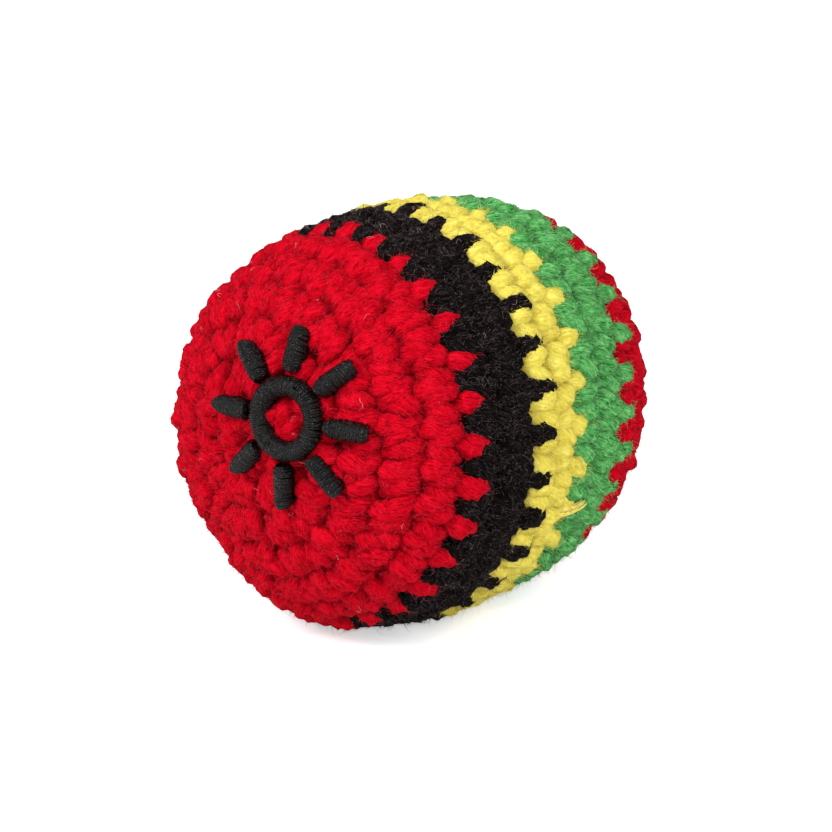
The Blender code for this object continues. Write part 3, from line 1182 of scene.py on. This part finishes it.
@dataclass(frozen=True)
class FibreFinish:
    """Fibres, thread, cloth or pellets: a tone that wanders a little, and may carry painted glints as
    pale specks.
    """

    name: str
    dark: str
    pale: str
    roughness: float
    specular: float
    patch: float
    bump: float = 0.0
    painted_glint: str | None = None
    dark_at: float = 0.35
    pale_at: float = 0.65
    painted_glint_at: float = 0.74

    def material(self) -> bpy.types.Material:
        """Build the material.

        Returns:
            The new material.
        """
        made = bpy.data.materials.new(self.name)
        made.use_nodes = True
        tree = made.node_tree
        shader = tree.nodes["Principled BSDF"]
        places = add_node(tree, "ShaderNodeTexCoord", {}, {})
        patches = {"Scale": 1 / self.patch, "Detail": 2.0}
        noise = add_node(tree, "ShaderNodeTexNoise", patches, {"Vector": places.outputs["Object"]})
        tones = add_node(tree, "ShaderNodeValToRGB", {}, {"Fac": noise.outputs["Fac"]})
        ramp = tones.color_ramp
        ramp.elements[0].position = self.dark_at
        ramp.elements[0].color = linear(self.dark)
        ramp.elements[1].position = self.pale_at
        ramp.elements[1].color = linear(self.pale)
        # Painted glints: a few pale specks laid into the base colour, the same lit or in shade
        if self.painted_glint:
            ramp.elements.new(self.painted_glint_at).color = linear(self.painted_glint)
        tree.links.new(tones.outputs["Color"], shader.inputs["Base Color"])
        if self.bump:
            height = {"Strength": 1.0, "Distance": self.bump}
            relief = add_node(tree, "ShaderNodeBump", height, {"Height": noise.outputs["Fac"]})
            tree.links.new(relief.outputs["Normal"], shader.inputs["Normal"])
        shader.inputs["Roughness"].default_value = self.roughness
        shader.inputs["Specular IOR Level"].default_value = self.specular
        return made


# Worsted acrylic: spun staple fibre, so it is matt, and each strand shows lighter and darker fibres; the
# last colour of each is painted shade for the hollows between stitches
YARN_FINISHES = {
    Yarn.FRONT_RED: YarnFinish("red_acrylic_yarn", "C40018", "7C0008", "D00E28", "4C0003"),
    Yarn.BLACK: YarnFinish("black_acrylic_yarn", "0B0707", "020101", "2C2424", "010101"),
    Yarn.YELLOW: YarnFinish("yellow_acrylic_yarn", "E6D656", "D0BA42", "F2E676", "B49A30"),
    Yarn.GREEN: YarnFinish("green_acrylic_yarn", "4EA152", "185A20", "84CA7E", "08320E"),
    Yarn.REAR_RED: YarnFinish("rear_red_acrylic_yarn", "C40018", "7C0008", "D00E28", "4C0003"),
}

# The same fibre where it stands loose: single fibres let light past, so they look paler than the yarn
NAP_FINISHES = {
    Yarn.FRONT_RED: FibreFinish("red_acrylic_nap", "9C0012", "E83C52", 0.9, 0.04, 0.2 * MM),
    Yarn.BLACK: FibreFinish("black_acrylic_nap", "060404", "786C6A", 0.9, 0.08, 0.2 * MM),
    Yarn.YELLOW: FibreFinish("yellow_acrylic_nap", "D6C248", "F8EE90", 0.9, 0.04, 0.3 * MM),
    Yarn.GREEN: FibreFinish("green_acrylic_nap", "2A7830", "A6DC9E", 0.9, 0.04, 0.2 * MM),
    Yarn.REAR_RED: FibreFinish("rear_red_acrylic_nap", "9C0012", "E83C52", 0.9, 0.04, 0.2 * MM),
}

# Rayon embroidery thread: twisted bright filament, so it is glossy; its pale specks are painted glints in
# the base colour
SATIN_FINISH = FibreFinish(
    "black_rayon_thread", "020202", "060505", 0.24, 0.22, 0.11 * MM, 0.12 * MM, "98948F"
)
# Cotton lint: a dull off-white that stands out on the dark yarn
LINT_FINISH = FibreFinish("cotton_lint", "A07C78", "D2B8B0", 0.9, 0.05, 1.2 * MM)
# Warp-knitted nylon: a thin dull black net with a fine rib
LINER_FINISH = FibreFinish("black_nylon_knit", "0A0A0B", "2A2A2C", 0.7, 0.3, 0.45 * MM, 0.12 * MM)
# Bonded nylon thread: smooth black with a slight shine
TIE_FINISH = FibreFinish("bonded_nylon_thread", "0C0C0D", "222224", 0.45, 0.4, 0.3 * MM, 0.03 * MM)
# Polyethylene pellets: waxy and off-white
PELLET_FINISH = FibreFinish("polyethylene_pellets", "C9C4B6", "E4E0D6", 0.4, 0.5, 3.0 * MM)


@dataclass(frozen=True)
class SoftBox:
    """A square lamp that points at the ball: its place in metres, its side and its power in watts."""

    name: str
    place: tuple[float, float, float]
    size: float
    power: float


@dataclass
class Studio:
    """Floor, lamps and the camera."""

    form: BallForm
    azimuth: float = math.radians(42.3)
    elevation: float = math.radians(19.6)
    distance: float = 400.0 * MM
    frame_width: float = 100.2 * MM
    right: float = 0.7 * MM
    down: float = 0.9 * MM
    sensor: float = 36.0
    floor_size: float = 4.0
    floor_glow: float = 0.55
    room_light: float = 0.36
    boxes: tuple[SoftBox, ...] = (
        SoftBox("key_box", (-0.16, -0.50, 0.50), 0.30, 4.8),
        SoftBox("side_box", (0.56, -0.08, 0.44), 0.30, 3.4),
    )

    def camera(self) -> None:
        """Set the camera at the photograph's angle."""
        data = bpy.data.cameras.new("camera")
        data.sensor_width = self.sensor
        data.lens = self.sensor * self.distance / self.frame_width
        camera = bpy.data.objects.new("camera", data)
        bpy.context.scene.collection.objects.link(camera)
        sin_a, cos_a = math.sin(self.azimuth), math.cos(self.azimuth)
        sin_e, cos_e = math.sin(self.elevation), math.cos(self.elevation)
        back = Vector((sin_a * cos_e, -cos_a * cos_e, sin_e))
        right = Vector((cos_a, sin_a, 0))
        upward = back.cross(right)
        target = Vector(self.form.middle.tolist())
        target = target + right * self.right - upward * self.down
        turned = Matrix((right, upward, back)).transposed()
        camera.matrix_world = Matrix.Translation(target + back * self.distance) @ turned.to_4x4()
        bpy.context.scene.camera = camera

    def floor(self) -> None:
        """A white floor that keeps the ball's soft shadow."""
        bpy.ops.object.select_all(action="DESELECT")
        bpy.ops.mesh.primitive_plane_add(size=self.floor_size, location=(0, 0, 0))
        floor = bpy.context.object
        floor.name = "floor"
        made = bpy.data.materials.new("white_card_floor")
        made.use_nodes = True
        tree = made.node_tree
        shader = tree.nodes["Principled BSDF"]
        shader.inputs["Base Color"].default_value = linear("F2F2F2")
        shader.inputs["Roughness"].default_value = 0.9
        path = add_node(tree, "ShaderNodeLightPath", {}, {})
        glow = add_node(tree, "ShaderNodeEmission", {"Strength": self.floor_glow}, {})
        plain = add_node(tree, "ShaderNodeEmission", {"Strength": 0.0}, {})
        seen = {0: path.outputs["Is Camera Ray"], 1: plain.outputs[0], 2: glow.outputs[0]}
        chosen = add_node(tree, "ShaderNodeMixShader", {}, seen)
        both = add_node(tree, "ShaderNodeAddShader", {}, {0: shader.outputs[0], 1: chosen.outputs[0]})
        tree.links.new(both.outputs[0], tree.nodes["Material Output"].inputs["Surface"])
        floor.data.materials.append(made)

    def lamps(self) -> None:
        """Two soft boxes, one above and to the left of the camera, and pale light all round."""
        world = bpy.data.worlds.new("pale_room")
        world.use_nodes = True
        tree = world.node_tree
        background = tree.nodes["Background"]
        background.inputs["Color"].default_value = (1, 1, 1, 1)
        background.inputs["Strength"].default_value = self.room_light
        path = add_node(tree, "ShaderNodeLightPath", {}, {})
        seen = add_node(tree, "ShaderNodeBackground", {"Strength": 1.0, "Color": (1, 1, 1, 1)}, {})
        mixed = add_node(
            tree,
            "ShaderNodeMixShader",
            {},
            {0: path.outputs["Is Camera Ray"], 1: background.outputs[0], 2: seen.outputs[0]},
        )
        tree.links.new(mixed.outputs[0], tree.nodes["World Output"].inputs["Surface"])
        bpy.context.scene.world = world
        for box in self.boxes:
            data = bpy.data.lights.new(box.name, "AREA")
            data.shape = "SQUARE"
            data.size = box.size
            data.energy = box.power
            lamp = bpy.data.objects.new(box.name, data)
            bpy.context.scene.collection.objects.link(lamp)
            lamp.location = box.place
            aim = Vector(self.form.middle.tolist()) - Vector(box.place)
            lamp.rotation_euler = aim.to_track_quat("-Z", "Y").to_euler()


def dress(
    piece: bpy.types.Object, finish: YarnFinish | FibreFinish, stands_for: str | None = None
) -> None:
    """Give a piece its finish and its body, and hide the model's node that it stands for.

    Args:
        piece: The finished piece.
        finish: What it is made of.
        stands_for: The node that it replaces, if it replaces one.
    """
    known = bpy.data.materials.get(finish.name)
    piece.data.materials.clear()
    piece.data.materials.append(known or finish.material())
    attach(piece, "root")
    if stands_for:
        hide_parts(stands_for)
    LOG.info("%s: %d faces", piece.name, len(piece.data.polygons))


def main() -> None:
    """Build the pieces in order and report each one."""
    logging.basicConfig(level=logging.INFO, format="%(message)s")
    form = BallForm()
    studio = Studio(form)
    studio.camera()
    studio.floor()
    studio.lamps()
    bpy.context.scene.view_settings.view_transform = "Standard"
    stitches = CrochetPattern(form, footbag_rounds()).stitches()
    rng = np.random.default_rng(SEED)
    for yarn in Yarn:
        strand = YarnStrand(form, yarn, [stitch for stitch in stitches if stitch.yarn is yarn], rng)
        piece, facts = strand.build()
        dress(piece, YARN_FINISHES[yarn], yarn.value)
        for nap in NAPS:
            dress(Fuzz(form, yarn, nap, rng).build(facts), NAP_FINISHES[yarn])
    ends = LooseEnds(form, rng)
    dress(ends.tail(), NAP_FINISHES[Yarn.YELLOW])
    dress(ends.lint(), LINT_FINISH)
    sun = StitchedSun(form, rng)
    dress(sun.ring(), SATIN_FINISH, "sun_ring")
    for number in range(sun.rays):
        dress(sun.ray(number), SATIN_FINISH, f"sun_ray_{number + 1}")
    liner = FilledLiner(form, rng)
    pouch = liner.pouch()
    dress(pouch, LINER_FINISH, "liner")
    dress(liner.tie(), TIE_FINISH, "liner_tie")
    dress(liner.pellets(), PELLET_FINISH, "pellet_fill")


if __name__ == "__main__":
    main()
